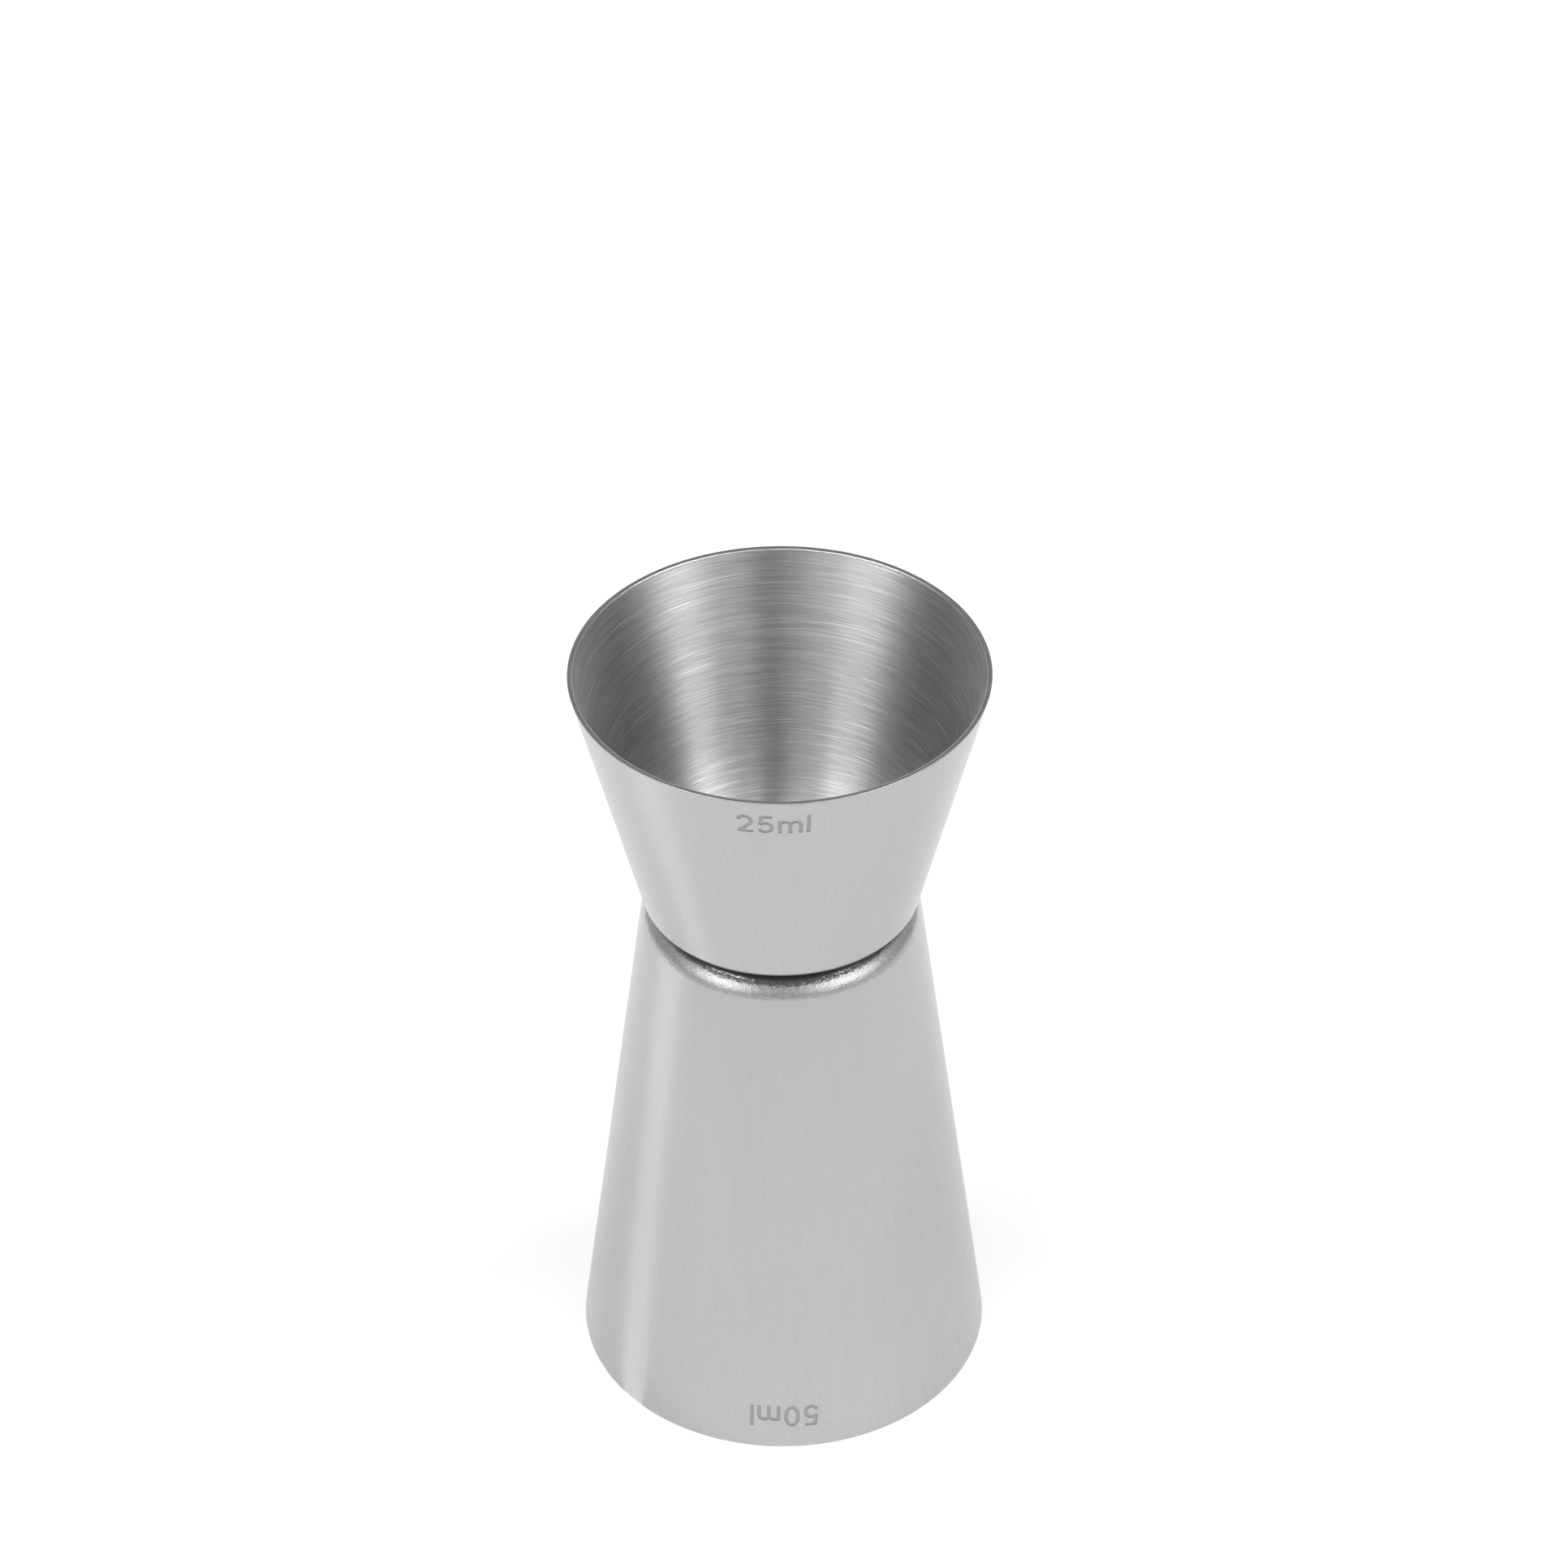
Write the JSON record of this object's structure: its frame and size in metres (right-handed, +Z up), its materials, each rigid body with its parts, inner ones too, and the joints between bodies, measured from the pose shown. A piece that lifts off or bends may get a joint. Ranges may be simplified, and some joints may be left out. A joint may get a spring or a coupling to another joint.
{
  "type": "bar jigger",
  "caption": "Double-ended bar jigger: a smaller and a larger conical steel measuring cup joined base to base, standing on the larger cup's rim.",
  "frame": {"origin": "centre of the larger cup's rim, in the plane that the jigger stands on", "axes": "+Z up along the axis of both cups, through the smaller cup's mouth; -Y is the side that carries the capacity numerals"},
  "size_m": [0.0428, 0.0428, 0.0864],
  "materials": {
    "satin_steel": "satin brushed",
    "weld_steel": "as welded"
  },
  "bodies": {
    "root": {"cup_25ml": "satin_steel", "cup_50ml": "satin_steel", "spot_weld_nuggets": "weld_steel"}
  },
  "joints": []
}
